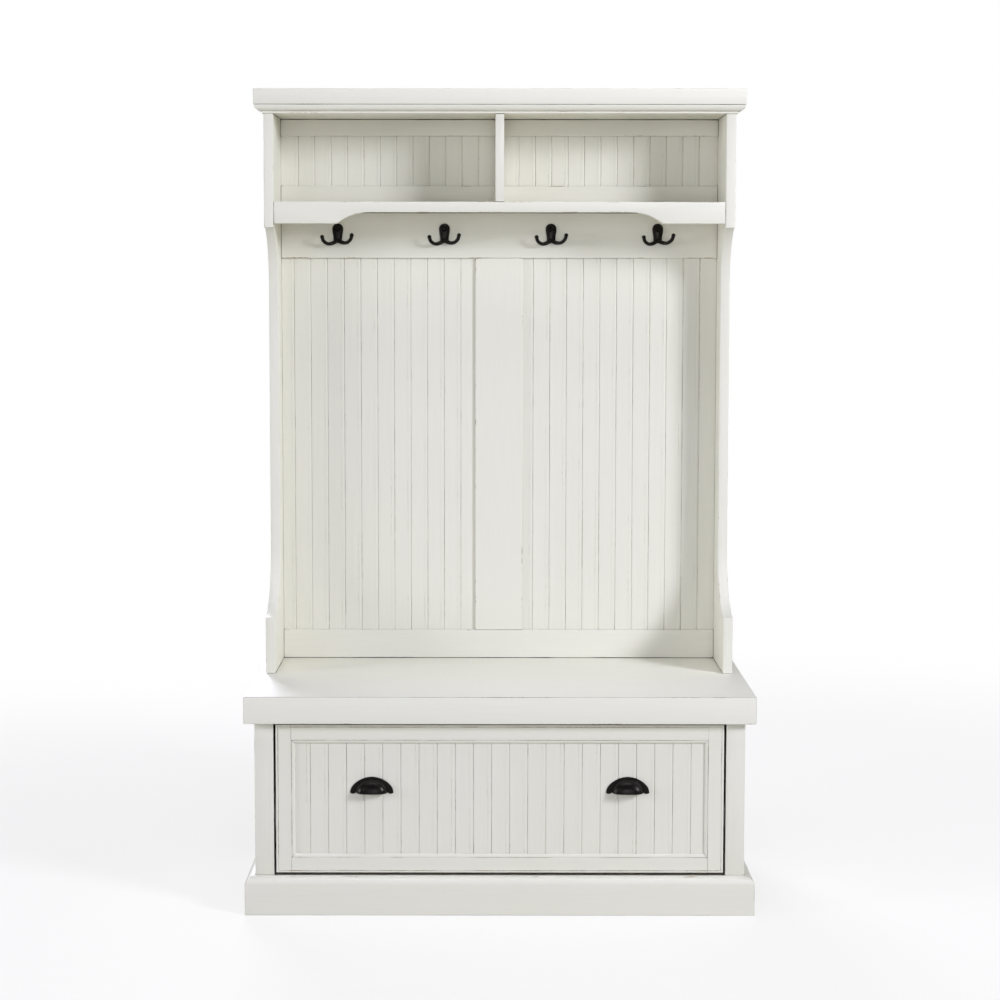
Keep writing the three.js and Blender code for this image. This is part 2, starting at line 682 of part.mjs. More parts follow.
// A cup pull: a quarter-ellipsoid shell, open below, on a thin flange with an ear at each end.
function cupPullGeometry() {
  const { half, rise, flange } = PULL;
  const shell = { x: 37, y: 23, z: 27 };
  const wall = 2.2;
  const dome = (inset) => new THREE.SphereGeometry(1, 24, 16)
    .scale(shell.x - inset, shell.y - inset, shell.z - inset);
  const below = blockGeometry([-60, 60], [-40, 40], [-60, 0]);
  const behind = blockGeometry([-60, 60], [0, 40], [-60, 60]);
  const cup = cut(dome(0), dome(wall), below, behind);

  const ear = { x: half - 4, z: -1, radius: 4 };
  const arch = new THREE.Shape();
  arch.absellipse(0, 0, half, rise, 0, Math.PI, false);
  arch.lineTo(-shell.x + wall, 0);
  arch.absellipse(0, 0, shell.x - wall, shell.z - wall, Math.PI, 0, true);
  arch.lineTo(half, 0);
  const extrude = { depth: flange, bevelEnabled: false, curveSegments: 14 };
  const ears = [-1, 1].map((side) => {
    const disc = new THREE.Shape().absarc(side * ear.x, ear.z, ear.radius, 0, 2 * Math.PI, false);
    return new THREE.ExtrudeGeometry(disc, extrude).rotateX(Math.PI / 2);
  });
  const plate = new THREE.ExtrudeGeometry(arch, extrude).rotateX(Math.PI / 2);
  return join(plate, cup, ...ears);
}

function cupPulls() {
  const geometry = cupPullGeometry();
  const group = new THREE.Group();
  for (const [name, side] of [['cup_pull_left', -1], ['cup_pull_right', 1]]) {
    const mesh = named(name, geometry, darkBronze);
    mesh.position.set(side * PULL.spacing / 2, depth(panelDepth - AIR), PULL.height);
    group.add(mesh);
  }
  return group;
}

// ---------------------------------------------------------------- drawer box

// The box's section on the side that carries the groove for its bottom. Out runs to the inside.
function groovedSection() {
  const { board: thick, foot, top, groove, bottom_up: up } = BOX;
  const grooveTop = up + SHEET + 2 * AIR;
  return outline([[0, 0], [thick, 0], [thick, up], [thick - groove, up], [thick - groove, grooveTop],
    [thick, grooveTop], [thick, top - foot], [0, top - foot]]);
}

function drawerBox() {
  const { board: thick, foot, top, depth: long, groove, bottom_up: up } = BOX;
  const front = OVERHANG + FRAME + AIR;
  const back = front + long;
  const section = groovedSection();
  const inside = BOX_HALF - thick - AIR;

  const left = strip('drawer_side_left', drawerWood, section, () => [0, long]);
  left.rotation.z = Math.PI / 2;
  left.position.set(-BOX_HALF, depth(front), foot);
  const right = strip('drawer_side_right', drawerWood, section, () => [-long, 0]);
  right.rotation.z = -Math.PI / 2;
  right.position.set(BOX_HALF, depth(front), foot);
  const subFront = strip('drawer_sub_front', drawerWood, section, () => [-inside, inside]);
  subFront.rotation.z = Math.PI;
  subFront.position.set(0, depth(front), foot);

  const bottomHalf = BOX_HALF - thick + groove;
  const bottomFoot = foot + up + AIR / 2;
  const group = new THREE.Group();
  group.add(
    left,
    right,
    subFront,
    board('drawer_back', drawerWood, [-inside, inside], [depth(back - thick), depth(back)],
      [foot + up + SHEET + AIR, top]),
    board('drawer_bottom', drawerWood, [-bottomHalf, bottomHalf],
      [depth(front + thick - groove), depth(back - 1)], [bottomFoot, bottomFoot + SHEET + AIR], 0.4),
  );
  return group;
}

// ---------------------------------------------------------------- drawer slides

// A channel in section: out runs from its web to the tips of its flanges.
function channel(web, tips, half) {
  const gauge = Math.sign(tips - web) * SLIDE.gauge;
  return outline([[web, -half], [tips, -half], [tips, -half + SLIDE.gauge],
    [web + gauge, -half + SLIDE.gauge], [web + gauge, half - SLIDE.gauge],
    [tips, half - SLIDE.gauge], [tips, half], [web, half]]);
}

// Three nested channels on each side: the outer one on the case, the middle one between, and
// the inner one on the drawer, which opens the other way.
function drawerSlides() {
  const { length, height, space, centre, front } = SLIDE;
  const members = {
    slide_outer: channel(AIR, 9, height / 2),
    slide_middle: channel(3.2, 10.2, 17.5),
    slide_inner: channel(space - AIR, 5.8, 13.2),
  };
  const group = new THREE.Group();
  for (const [name, section] of Object.entries(members)) {
    const left = strip(`${name}_left`, zincSteel, section, () => [0, length]);
    left.rotation.z = Math.PI / 2;
    left.position.set(-OPENING_HALF, depth(front), centre);
    const right = strip(`${name}_right`, zincSteel, section, () => [-length, 0]);
    right.rotation.z = -Math.PI / 2;
    right.position.set(OPENING_HALF, depth(front), centre);
    group.add(left, right);
  }
  return group;
}

// ---------------------------------------------------------------- assembly

const bench = new THREE.Group();
bench.add(benchTop(), skirting(), benchCase());

const drawer = new THREE.Group();
drawer.add(drawerFront(), cupPulls(), drawerBox());

const hallTree = new THREE.Group();
hallTree.add(crown(), hutch(), coatHooks(), bench, drawer, drawerSlides());

export default hallTree;
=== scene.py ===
"""Looks for the hall tree with hooks: paint, wood and metal, fine hardware, light and camera.

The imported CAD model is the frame. Metres: X is the width, the front faces -Y and Z is up.
"""

import math

import bmesh
import bpy
from mathutils import Matrix, Vector


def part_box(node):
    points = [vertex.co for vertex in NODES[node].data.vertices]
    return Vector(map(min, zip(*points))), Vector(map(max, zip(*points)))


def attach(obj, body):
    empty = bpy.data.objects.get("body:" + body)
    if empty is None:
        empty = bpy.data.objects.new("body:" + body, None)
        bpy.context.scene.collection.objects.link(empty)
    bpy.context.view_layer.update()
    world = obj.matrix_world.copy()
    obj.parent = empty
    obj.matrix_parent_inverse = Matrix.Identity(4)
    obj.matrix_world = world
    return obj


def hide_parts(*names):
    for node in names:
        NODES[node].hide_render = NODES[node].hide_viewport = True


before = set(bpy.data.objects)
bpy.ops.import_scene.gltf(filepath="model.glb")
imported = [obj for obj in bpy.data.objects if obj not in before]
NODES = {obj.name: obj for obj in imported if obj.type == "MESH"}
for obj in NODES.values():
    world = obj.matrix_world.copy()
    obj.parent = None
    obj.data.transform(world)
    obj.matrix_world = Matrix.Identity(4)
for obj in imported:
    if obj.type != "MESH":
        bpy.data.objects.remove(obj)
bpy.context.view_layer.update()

MM = 0.001
SIDES = ("left", "right")

# ---------------------------------------------------------------- colours, linear

PAINT = (0.802, 0.787, 0.684)
PAINT_WARM = (0.774, 0.757, 0.628)
PAINT_THIN = (0.64, 0.62, 0.54)      # in the streaks that the brush left
UNDERCOAT = (0.36, 0.27, 0.17)       # the stained wood that shows where the paint is rubbed away
GLAZE_AND_SHADE = (0.30, 0.27, 0.215)          # what settles in the grooves, with painted shade on the groove walls that face away from the key light
GRIME_AND_SHADE = (0.060, 0.048, 0.034)        # and what settles where two pieces meet, with painted shade in the corners there
UNLIT = (0.006, 0.005, 0.004)        # painted shade, near-black, inside a narrow gap
BIRCH = (0.60, 0.44, 0.26)
BIRCH_DARK = (0.44, 0.29, 0.15)
BIRCH_PORE = (0.30, 0.19, 0.095)
BIRCH_WORN = (0.68, 0.53, 0.34)
HARDBOARD = (0.27, 0.175, 0.10)
HARDBOARD_FIBRE = (0.40, 0.275, 0.165)
HARDBOARD_CLOUD = (0.20, 0.125, 0.07)
BRONZE = (0.0062, 0.0055, 0.0047)
BRONZE_RUBBED = (0.060, 0.040, 0.026)
ZINC = (0.56, 0.57, 0.59)
ZINC_DULL = (0.44, 0.455, 0.485)
SHEEN = (1.0, 0.93, 0.82)            # what the bronze reflects most
DAYLIGHT = (0.970, 0.986, 1.135)


# ---------------------------------------------------------------- node trees

class Surface:
    """A Principled material, with short calls for the nodes that feed it."""

    def __init__(self, name, roughness, metallic=0.0, specular=0.5):
        self.material = bpy.data.materials.new(name)
        self.material.use_nodes = True
        self.tree = self.material.node_tree
        self.shader = self.tree.nodes["Principled BSDF"]
        self.shader.inputs["Roughness"].default_value = roughness
        self.shader.inputs["Metallic"].default_value = metallic
        self.shader.inputs["Specular IOR Level"].default_value = specular
        self.place = self.add("ShaderNodeTexCoord").outputs["Object"]

    def add(self, kind, inputs=None, **settings):
        node = self.tree.nodes.new(kind)
        for key, value in settings.items():
            setattr(node, key, value)
        for key, value in (inputs or {}).items():
            self.feed(node.inputs[key], value)
        return node

    def feed(self, socket, value):
        if isinstance(value, bpy.types.NodeSocket):
            self.tree.links.new(value, socket)
        else:
            socket.default_value = value

    def math(self, operation, a, b=0.0):
        return self.add("ShaderNodeMath", {0: a, 1: b}, operation=operation).outputs[0]

    def span(self, value, low, high, out_low=0.0, out_high=1.0):
        """value, eased from low..high to out_low..out_high."""
        inputs = {"Value": value, "From Min": low, "From Max": high}
        inputs.update({"To Min": out_low, "To Max": out_high})
        return self.add("ShaderNodeMapRange", inputs, interpolation_type="SMOOTHSTEP").outputs[0]

    def times(self, a, b):
        return self.math("MULTIPLY", a, b)

    def mix(self, share, a, b):
        node = self.add("ShaderNodeMix", data_type="RGBA")
        self.feed(node.inputs[0], share)
        for socket, value in ((node.inputs[6], a), (node.inputs[7], b)):
            self.feed(socket, (*value, 1.0) if isinstance(value, tuple) else value)
        return node.outputs[2]

    def noise(self, scale, stretch=(1, 1, 1), detail=3.0, rough=0.5, shift=(0, 0, 0)):
        inputs = {"Vector": self.place, "Scale": stretch, "Location": shift}
        mapped = self.add("ShaderNodeMapping", inputs)
        inputs = {"Vector": mapped.outputs[0], "Scale": scale, "Detail": detail, "Roughness": rough}
        return self.add("ShaderNodeTexNoise", inputs).outputs["Fac"]

    def flat_normal(self):
        return self.add("ShaderNodeNewGeometry").outputs["True Normal"]

    def parts(self, vector):
        return self.add("ShaderNodeSeparateXYZ", {0: vector}).outputs

    def arris(self, radius):
        """0 on a flat face and up to 1 at an edge, from how such a rounding would turn the face."""
        rounded = self.add("ShaderNodeBevel", {"Radius": radius}, samples=4).outputs[0]
        both = {0: rounded, 1: self.flat_normal()}
        turned = self.add("ShaderNodeVectorMath", both, operation="DOT_PRODUCT").outputs["Value"]
        return self.span(turned, 0.995, 0.80)

    def openness(self, distance):
        """1 on an open face, and less where there is something else within that distance."""
        return self.add("ShaderNodeAmbientOcclusion", {"Distance": distance}, samples=8).outputs["AO"]

    def bump(self, height, distance):
        inputs = {"Height": height, "Distance": distance, "Strength": 1.0}
        self.feed(self.shader.inputs["Normal"], self.add("ShaderNodeBump", inputs).outputs[0])


# Stretches a noise so that it runs along an axis.
ALONG = {"X": (1, 26, 26), "Y": (26, 1, 26), "Z": (26, 26, 1)}

# How far around itself a place looks for the other side of a joint, and of an open gap.
JOINT_REACH = 3 * MM
GAP_REACH = 14 * MM
# How open a place still is where the dirt and painted shade of a joint start to show, and where they
# are thickest. Both stay in the rounded edges of a flush joint more than in the corner of two faces.
DIRT_AND_SHADE_FACE = (0.66, 0.36)
DIRT_AND_SHADE_ARRIS = (0.92, 0.56)


def groove_glaze_and_shade(s, groove):
    """How much glaze and painted shade is in a beadboard's grooves, and how dirty its joints are; the
    painted shade is thickest on the groove walls that face away from the key light.
    """
    face, bottom = groove
    depth = bottom - face
    down = s.span(s.parts(s.place)["Y"], face + 0.55 * depth, face + 0.95 * depth)
    facing = s.parts(s.flat_normal())
    # Painted shade: the glaze is darkest on the walls that face left, away from the key light.
    turned = s.span(facing["X"], 0.2, -0.6, 0.15, 1.0)
    not_the_back = s.span(facing["Y"], 0.6, 0.2)
    runs = s.noise(7.0, (9, 1, 1), detail=4.0, rough=0.7, shift=(8.2, 0.4, 1.9))
    filled = s.times(down, s.span(runs, 0.40, 0.72, 0.10, 0.85))
    return s.times(filled, s.times(turned, not_the_back)), s.span(runs, 0.45, 0.75, 0.05, 0.8)


def paint(name, grain, groove=None, arris=False, rubbed=0.0):
    """Satin off-white paint, brushed along the grain and rubbed through at the edges, with painted
    shade in its grooves, joints and narrow gaps.

    groove is the (depth of the face, depth of the bottom) of a beadboard's grooves, along Y.
    arris says that the surface is an edge's own rounding, which is rubbed the most, and rubbed
    how much more of the edges is bare than usual.
    """
    s = Surface(name, roughness=0.5, specular=0.4)
    stretch = ALONG[grain]
    tone = s.noise(2.3, detail=2.0)
    streak = s.noise(9.0, stretch, detail=4.0, rough=0.6)
    colour = s.mix(s.times(tone, 0.8), PAINT, PAINT_WARM)
    colour = s.mix(s.span(streak, 0.30, 0.75, 0.0, 0.10), colour, PAINT_THIN)

    patches = s.noise(11.0, detail=3.0, rough=0.65, shift=(3.1, 1.7, 5.3))
    fleck = s.noise(160.0, detail=3.0, rough=0.7)
    rub = s.span(patches, 0.47 - rubbed, 0.68 - rubbed)
    if not arris:
        rub = s.times(s.arris(1.6 * MM), rub)
    rub = s.times(rub, s.span(fleck, 0.34, 0.56))
    wear = s.span(rub, 0.10, 0.75, 0.0, 0.80)
    colour = s.mix(wear, colour, UNDERCOAT)

    soiled = s.span(patches, 0.38, 0.62, 0.30, 0.95)
    if groove:
        # Glaze in the grooves, with painted shade on their walls that face away from the key light.
        settled_and_shaded, soiled = groove_glaze_and_shade(s, groove)
        colour = s.mix(settled_and_shaded, colour, GLAZE_AND_SHADE)
    # Dirt in the joints, with painted shade wherever another face is within a few millimetres.
    joint = s.span(s.openness(JOINT_REACH), *(DIRT_AND_SHADE_ARRIS if arris else DIRT_AND_SHADE_FACE))
    colour = s.mix(s.times(joint, soiled), colour, GRIME_AND_SHADE)
    # Painted shade: near-black where the far side of a narrow gap closes round the place.
    gap_shade = s.span(s.openness(GAP_REACH), 0.34, 0.12)
    colour = s.mix(gap_shade, colour, UNLIT)

    s.feed(s.shader.inputs["Base Color"], colour)
    dullness = s.math("ADD", streak, wear)
    s.feed(s.shader.inputs["Roughness"], s.span(dullness, 0.2, 1.2, 0.42, 0.68))
    brush = s.math("ADD", s.noise(55.0, stretch, detail=2.0), s.times(fleck, 0.35))
    s.bump(s.math("SUBTRACT", brush, s.times(wear, 0.8)), 0.08 * MM)
    return s.material


def lacquered_wood(name, grain):
    """Clear-lacquered birch: long pale figure, fine pores and a satin coat."""
    s = Surface(name, roughness=0.42, specular=0.45)
    stretch = ALONG[grain]
    broad = tuple(max(1, 0.5 * k) for k in stretch)
    figure = s.noise(1.6, broad, detail=4.0, rough=0.55)
    rings = s.math("SINE", s.times(figure, 60.0))
    pores = s.noise(38.0, stretch, detail=3.0, rough=0.7)
    colour = s.mix(s.span(rings, -1.0, 1.0, 0.0, 0.55), BIRCH, BIRCH_DARK)
    colour = s.mix(s.span(pores, 0.52, 0.78, 0.0, 0.55), colour, BIRCH_PORE)
    worn = s.arris(1.2 * MM)
    colour = s.mix(s.times(worn, 0.3), colour, BIRCH_WORN)
    s.feed(s.shader.inputs["Base Color"], colour)
    s.feed(s.shader.inputs["Roughness"], s.span(pores, 0.3, 0.8, 0.36, 0.58))
    s.bump(pores, 0.10 * MM)
    return s.material


def hardboard(name):
    """Raw hardboard: brown pressed fibre."""
    s = Surface(name, roughness=0.72, specular=0.3)
    fibre = s.noise(420.0, detail=4.0, rough=0.75)
    cloud = s.noise(14.0, detail=4.0, rough=0.6)
    colour = s.mix(s.span(fibre, 0.38, 0.66), HARDBOARD, HARDBOARD_FIBRE)
    colour = s.mix(s.span(cloud, 0.35, 0.7, 0.0, 0.35), colour, HARDBOARD_CLOUD)
    s.feed(s.shader.inputs["Base Color"], colour)
    s.bump(fibre, 0.15 * MM)
    return s.material


def bronze(name):
    """Dark bronze over a casting: a faint orange peel, and brown where hands rub it."""
    s = Surface(name, roughness=0.32, metallic=0.1, specular=0.2)
    s.shader.inputs["Specular Tint"].default_value = (*SHEEN, 1)
    peel = s.noise(900.0, detail=2.0)
    cloud = s.noise(70.0, detail=3.0, rough=0.6)
    edge = s.arris(0.9 * MM)
    rub = s.times(edge, s.span(cloud, 0.45, 0.62))
    colour = s.mix(s.span(rub, 0.15, 0.9, 0.0, 0.7), BRONZE, BRONZE_RUBBED)
    s.feed(s.shader.inputs["Base Color"], colour)
    s.feed(s.shader.inputs["Roughness"], s.span(cloud, 0.3, 0.7, 0.25, 0.38))
    s.bump(s.math("ADD", peel, s.times(cloud, 1.5)), 0.06 * MM)
    return s.material


def zinc(name, grain):
    """Zinc-plated rolled steel, with fine lines along the way it was rolled."""
    s = Surface(name, roughness=0.34, metallic=1.0)
    lines = s.noise(240.0, ALONG[grain], detail=3.0, rough=0.6)
    spangle = s.noise(60.0, detail=3.0)
    colour = s.mix(s.span(spangle, 0.3, 0.7, 0.0, 0.6), ZINC, ZINC_DULL)
    s.feed(s.shader.inputs["Base Color"], colour)
    s.feed(s.shader.inputs["Roughness"], s.span(lines, 0.3, 0.7, 0.26, 0.44))
    s.bump(lines, 0.02 * MM)
    return s.material


# ---------------------------------------------------------------- edges and shading of the CAD nodes

# Shades a curve smoothly and keeps an edge that turns by more than this.
CREASE = math.radians(32)
WOOD_ARRIS = 0.8 * MM


def smoothing():
    tree = bpy.data.node_groups.new("smooth_curves", "GeometryNodeTree")
    tree.interface.new_socket("Geometry", in_out="INPUT", socket_type="NodeSocketGeometry")
    tree.interface.new_socket("Geometry", in_out="OUTPUT", socket_type="NodeSocketGeometry")

    def add(kind, **settings):
        node = tree.nodes.new(kind)
        for key, value in settings.items():
            setattr(node, key, value)
        return node

    start = add("NodeGroupInput")
    end = add("NodeGroupOutput")
    forget = add("GeometryNodeRemoveAttribute")
    forget.inputs["Name"].default_value = "custom_normal"
    weld = add("GeometryNodeMergeByDistance")
    weld.inputs["Distance"].default_value = 0.01 * MM
    faces = add("GeometryNodeSetShadeSmooth", domain="FACE")
    edges = add("GeometryNodeSetShadeSmooth", domain="EDGE")
    angle = add("GeometryNodeInputMeshEdgeAngle")
    gentle = add("FunctionNodeCompare", data_type="FLOAT", operation="LESS_THAN")
    gentle.inputs[1].default_value = CREASE
    tree.links.new(angle.outputs["Unsigned Angle"], gentle.inputs[0])
    tree.links.new(gentle.outputs[0], edges.inputs["Shade Smooth"])
    chain = [start, forget, weld, faces, edges, end]
    for a, b in zip(chain, chain[1:]):
        tree.links.new(a.outputs[0], b.inputs[0])
    return tree


SMOOTH = smoothing()


def smooth(obj):
    obj.modifiers.new("smooth_curves", "NODES").node_group = SMOOTH


def ease_edges(obj, width):
    """Rounds the edges a little. The rounding takes the object's second material."""
    flat = obj.modifiers.new("whole_faces", "DECIMATE")
    flat.decimate_type = "DISSOLVE"
    flat.angle_limit = math.radians(0.4)
    bevel = obj.modifiers.new("eased_edges", "BEVEL")
    bevel.width = width
    bevel.segments = 3
    bevel.limit_method = "ANGLE"
    bevel.angle_limit = math.radians(40)
    bevel.material = 1
    bevel.harden_normals = True


def finish(obj, *materials):
    obj.data.materials.clear()
    for material in materials:
        obj.data.materials.append(material)


# ---------------------------------------------------------------- finishes of the CAD nodes

GROOVE_DEPTH = 2.0 * MM
GRAINS = {"across": "X", "deep": "Y", "upright": "Z"}
CASE_RUBBED = -0.03
DRAWER_RUBBED = 0.07


def groove_of(node):
    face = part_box(node)[0].y
    return face, face + GROOVE_DEPTH


def paint_and_arris(kind, grain, rubbed):
    """The paint of a piece's faces, and the paint of its rounded edges."""
    faces = paint(f"paint_{kind}", GRAINS[grain], rubbed=rubbed)
    edges = paint(f"paint_{kind}_arris", GRAINS[grain], arris=True, rubbed=rubbed)
    return faces, edges


def birch(grain):
    """The same lacquered wood for a piece's faces and for its rounded edges."""
    wood = lacquered_wood(f"birch_{grain}", GRAINS[grain])
    return wood, wood


def left_and_right(*names):
    return [f"{name}_{side}" for name in names for side in SIDES]


dark_bronze = bronze("dark_bronze")
zinc_plate = zinc("zinc_across", "X")
zinc_channel = zinc("zinc_deep", "Y")


def spread(groups):
    """A finish for each name, from groups of a finish and its names."""
    return {name: look for look, names in groups for name in names}


def plain_finishes():
    """The material of each piece whose edges are left as they are."""
    return spread([
        (paint("paint_beadboard_back", "Z", groove_of("beadboard_left")),
         left_and_right("beadboard", "cubby_beadboard")),
        (paint("paint_beadboard_drawer", "Z", groove_of("drawer_beadboard")), ["drawer_beadboard"]),
        (hardboard("hardboard"), ["case_back"]),
        (zinc_plate, left_and_right("wall_fixing_plate")),
        (zinc_channel, left_and_right("slide_outer", "slide_middle", "slide_inner")),
    ])


def eased_finishes():
    """The materials of the faces and edges of each piece that isn't in the usual paint."""
    return spread([
        (paint_and_arris("deep", "deep", CASE_RUBBED),
         left_and_right("crown_moulding", "bench_lip", "skirting")),
        (paint_and_arris("upright", "upright", CASE_RUBBED),
         ["cubby_divider", "back_centre_stile", *left_and_right("upright", "case_side", "case_stile")]),
        (paint_and_arris("drawer_across", "across", DRAWER_RUBBED),
         ["drawer_rail_top", "drawer_rail_bottom"]),
        (paint_and_arris("drawer_upright", "upright", DRAWER_RUBBED), left_and_right("drawer_stile")),
        (birch("across"), ["drawer_sub_front", "drawer_back"]),
        (birch("deep"), ["drawer_bottom", *left_and_right("drawer_side", "slide_spacer")]),
    ])


def finish_frame():
    plain = plain_finishes()
    eased = eased_finishes()
    usual = paint_and_arris("across", "across", CASE_RUBBED)
    for name, node in NODES.items():
        smooth(node)
        if name in plain:
            finish(node, plain[name])
        else:
            finish(node, *eased.get(name, usual))
            ease_edges(node, WOOD_ARRIS)


finish_frame()

# ---------------------------------------------------------------- mesh work

def between(first, last, count):
    return [first + (last - first) * k / (count - 1) for k in range(count)]


def turn_angles(count):
    return [2 * math.pi * k / count for k in range(count)]


def band(bm, a, b):
    """Faces round from the ring of vertices a to the ring b."""
    for i in range(len(a)):
        j = (i + 1) % len(a)
        bm.faces.new((a[i], a[j], b[j], b[i]))


def loft(bm, rings):
    """A closed skin over rings of points, flat at its two ends."""
    rows = [[bm.verts.new(point) for point in ring] for ring in rings]
    for a, b in zip(rows, rows[1:]):
        band(bm, a, b)
    bm.faces.new(reversed(rows[0]))
    bm.faces.new(rows[-1])


def curve_through(points, steps):
    """Points along the Catmull-Rom curve through the given ones."""
    points = [Vector(point) for point in points]
    ends = [2 * points[0] - points[1], *points, 2 * points[-1] - points[-2]]
    curve = []
    for a, b, c, d in zip(ends, ends[1:], ends[2:], ends[3:]):
        for t in (k / steps for k in range(steps)):
            curve.append(0.5 * (2 * b + (c - a) * t + (2 * a - 5 * b + 4 * c - d) * t ** 2
                                + (3 * b - a - 3 * c + d) * t ** 3))
    return curve + [points[-1]]


def modified(bm, *modifiers):
    """The mesh that the modifiers make of bm, in millimetres as it came, and smoothly shaded."""
    mesh = bpy.data.meshes.new("work")
    bm.to_mesh(mesh)
    bm.free()
    work = bpy.data.objects.new("work", mesh)
    bpy.context.scene.collection.objects.link(work)
    for kind, settings in modifiers:
        modifier = work.modifiers.new(kind.lower(), kind)
        for key, value in settings.items():
            setattr(modifier, key, value)
    graph = bpy.context.evaluated_depsgraph_get()
    made = bpy.data.meshes.new_from_object(work.evaluated_get(graph))
    bpy.data.objects.remove(work)
    bpy.data.meshes.remove(mesh)
    made.shade_smooth()
    return made


def solid(bm, *modifiers):
    """The same for closed skins, with every face turned outward first."""
    bmesh.ops.recalc_face_normals(bm, faces=bm.faces)
    return modified(bm, *modifiers)


def put(name, mesh, material, body, place=(0, 0, 0), instead_of=None):
    """A piece from a mesh in millimetres about its own origin, which goes to place, in metres."""
    mesh = mesh.copy()
    mesh.name = name
    mesh.transform(Matrix.Translation(place) @ Matrix.Scale(MM, 4))
    piece = bpy.data.objects.new(name, mesh)
    bpy.context.scene.collection.objects.link(piece)
    finish(piece, material)
    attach(piece, body)
    if instead_of:
        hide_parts(instead_of)
    return piece


# ---------------------------------------------------------------- screw heads

FACING = {"-Y": (0, -1, 0), "+Y": (0, 1, 0), "+X": (1, 0, 0), "-X": (-1, 0, 0)}
SCREW_SIDES = 32
# The dome's outline, as shares of the head's radius and height.
SCREW_DOME = [(0.9, 0.0), (1.0, 0.12), (1.0, 0.35), (0.95, 0.62), (0.85, 0.84), (0.70, 1.0)]
# The cross, as shares of the head: its arms' reach and half width, and its bottom's size and level.
CROSS_REACH = 0.52
CROSS_HALF = 0.11
CROSS_TAPER = 0.55
CROSS_FLOOR = 0.35


def cross_outline(radius):
    arm = CROSS_REACH * radius
    half = CROSS_HALF * radius
    quarter = [Vector((arm, -half)), Vector((arm, half)), Vector((half, half))]
    return [Matrix.Rotation(turn * math.pi / 2, 2) @ point for turn in range(4) for point in quarter]


def loop_pairs(ring):
    return zip(ring, ring[1:] + ring[:1])


def screw_head(bm, radius, height, at=(0, 0, 0), facing="-Y"):
    """A low dome with a cross sunk into it, whose underside is at the point."""
    turn = Vector((0, 0, 1)).rotation_difference(Vector(FACING[facing])).to_matrix().to_4x4()
    where = Matrix.Translation(at) @ turn

    def vertex(x, y, z):
        return bm.verts.new(where @ Vector((x, y, z)))

    rows = [[vertex(share * radius * math.cos(a), share * radius * math.sin(a), level * height)
             for a in turn_angles(SCREW_SIDES)] for share, level in SCREW_DOME]
    for a, b in zip(rows, rows[1:]):
        band(bm, a, b)
    bm.faces.new(reversed(rows[0]))

    outline = cross_outline(radius)
    brim = [vertex(*point, height) for point in outline]
    bottom = [vertex(*(CROSS_TAPER * point), CROSS_FLOOR * height) for point in outline]
    edges = [bm.edges.new(pair) for pair in loop_pairs(brim)]
    edges += [bm.edges.get(pair) for pair in loop_pairs(rows[-1])]
    bmesh.ops.triangle_fill(bm, edges=edges, use_beauty=True)
    band(bm, brim, bottom)
    bm.faces.new(bottom)


def screws(name, places, facing, body, radius, height):
    """One piece of zinc screw heads at places, in metres."""
    bm = bmesh.new()
    for place in places:
        screw_head(bm, radius, height, [value / MM for value in place], facing)
    put(name, solid(bm), zinc_plate, body)


# ---------------------------------------------------------------- coat hooks

# A double hook, in millimetres about the middle of its round top, on the face that it is fixed to.
HOOK_BULB = 12.2                     # half width of its round top
HOOK_WAIST = 9.7                     # and of its waist
HOOK_WAIST_AT = -22.0
HOOK_FOOT = -30.0
HOOK_LEAN = 0.06
PLATE_RIM = 1.4                      # thickness at the plate's outline
PLATE_CROWN = (1.8, 5.4)             # and along its middle, where it's narrowest and widest
PLATE_FULL = 0.8                     # under 1, its dome is fuller than an ellipse
PLATE_TOP = 0.3                      # keeps its top from being a point
HOOK_PRONG = [(3, -4, -27), (9, -6.5, -30.5), (16.5, -11.5, -32.5), (24, -18, -31), (30.5, -24, -25),
              (33, -27, -16.5)]
PRONG_ROOT = 4.9                     # radii: where the prong leaves the plate, along it, and its ball
PRONG_ROD = 4.0
PRONG_TIP = 4.7
PRONG_STEPS = 10                     # sections between two points of the route
ROOT_STEPS = 22                      # sections over which the root thins to the rod
BALL_END = (0.2, 0.4, 0.6, 0.75, 0.88, 0.96, 0.995)
BALL_TOP = 0.02                      # keeps the ball's end from being a point
PRONG_SIDES = 20
WEB_AT = (0, -4.2, -26.6)            # the swelling that both prongs grow from
WEB_HALF = (9.5, 3.8, 5.0)
RECESS_FLOOR = 4.7                   # radii of the screw's recess, and its level and depth
RECESS_RIM = 6.3
RECESS_LEVEL = 2.4
RECESS_DEPTH = 3.4
HOOK_SCREW = (4.3, 1.7, (0, -2.3, 0))


def hook_half_width(z):
    if z >= 0:
        return math.sqrt(max(HOOK_BULB ** 2 - z ** 2, PLATE_TOP))
    ease = 0.5 - 0.5 * math.cos(math.pi * min(z / HOOK_WAIST_AT, 1))
    return HOOK_BULB + (HOOK_WAIST - HOOK_BULB) * ease


def hook_plate(bm):
    """The domed back plate, as sections stacked up its height."""
    thin, thickest = PLATE_CROWN
    rings = []
    for z in between(HOOK_FOOT, HOOK_BULB, 45):
        half = hook_half_width(z)
        dome = thin + (thickest - thin) * min(1, half / HOOK_WAIST) - PLATE_RIM
        front = [(half * math.cos(a), -PLATE_RIM - dome * max(math.sin(a), 0.0) ** PLATE_FULL, z)
                 for a in between(0, math.pi, 21)]
        rings.append([(half, 0, z), *front, (-half, 0, z)])
    loft(bm, rings)


